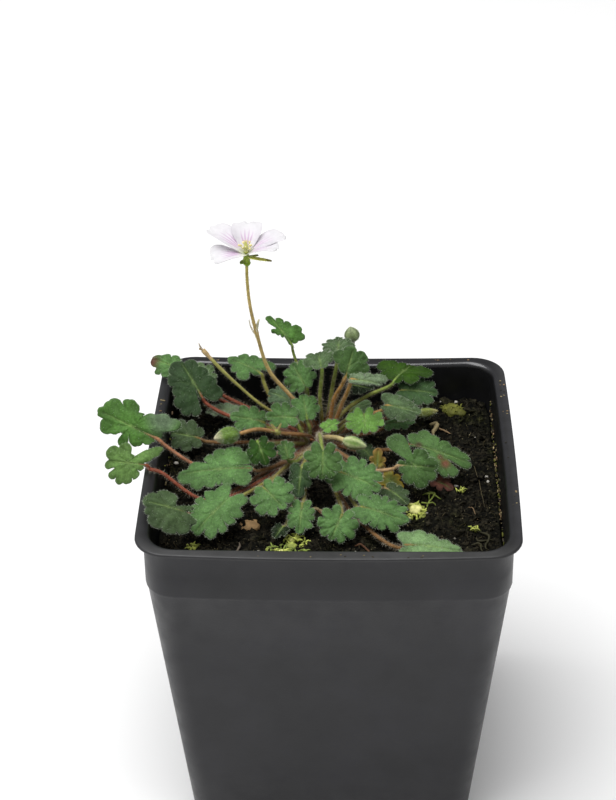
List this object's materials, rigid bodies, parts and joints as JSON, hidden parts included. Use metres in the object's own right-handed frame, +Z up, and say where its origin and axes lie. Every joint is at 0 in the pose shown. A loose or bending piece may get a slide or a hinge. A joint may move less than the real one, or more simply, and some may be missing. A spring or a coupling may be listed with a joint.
{
  "type": "potted erodium",
  "caption": "Small erodium with scalloped, hairy grey-green leaves, buds and a pale veined flower on a tall stalk, in a square black plastic nursery pot of peat.",
  "frame": {"origin": "centre of the pot's underside, on the surface that it stands on", "axes": "+Z up out of the pot, +Y towards the back of the pot, +X to the right as the picture shows it"},
  "size_m": [0.1032, 0.0908, 0.1425],
  "materials": {
    "pot_plastic": "moulded black polypropylene, slightly scuffed, soft sheen",
    "peat": "damp dark peat compost with grit; stands in for soil",
    "stem": "living petioles and stalks, olive to reddish tan, finely hairy",
    "leaf": "living leaf, grey-green, matt, covered in short pale hairs",
    "petal": "thin petal, near white with a lilac tint and pink veins",
    "pistil": "pistil and stamens, yellow-green",
    "bud": "hairy green bud, paler at its tip",
    "yellowed_leaf": "old leaf turned olive yellow",
    "dead_leaf": "dry red-brown leaf"
  },
  "bodies": {
    "root": {"pot": "pot_plastic", "soil": "peat", "crown_and_stems": "stem", "leaf_01": "leaf", "leaf_02": "leaf", "leaf_03": "leaf", "leaf_04": "leaf", "leaf_05": "leaf", "leaf_06": "leaf", "leaf_07": "leaf", "leaf_08": "leaf", "leaf_09": "leaf", "leaf_10": "leaf", "leaf_11": "leaf", "leaf_12": "leaf", "leaf_13": "leaf", "leaf_14": "leaf", "leaf_15": "leaf", "leaf_16": "leaf", "leaf_17": "leaf", "leaf_18": "leaf", "leaf_19": "leaf", "leaf_20": "leaf", "leaf_21": "leaf", "leaf_22": "leaf", "leaf_23": "leaf", "leaf_24": "leaf", "leaf_25": "leaf", "leaf_26": "leaf", "leaf_27": "leaf", "leaf_28": "leaf", "leaf_29": "leaf", "leaf_30": "leaf", "leaf_31": "leaf", "leaf_32": "leaf", "leaf_33": "leaf", "leaf_34": "leaf", "leaf_35": "leaf", "leaf_36": "leaf", "leaf_37": "leaf", "leaf_38": "leaf", "leaf_39": "leaf", "leaf_40": "leaf", "leaf_41": "leaf", "leaf_42": "leaf", "leaf_43": "leaf", "leaf_44": "leaf", "flower_petals": "petal", "flower_centre": "pistil", "bud_left": "bud", "bud_right": "bud", "bud_top": "bud", "bud_far_right": "bud", "yellow_leaf_standing": "yellowed_leaf", "yellow_leaf_lying": "yellowed_leaf", "dead_leaf": "dead_leaf"}
  },
  "joints": []
}
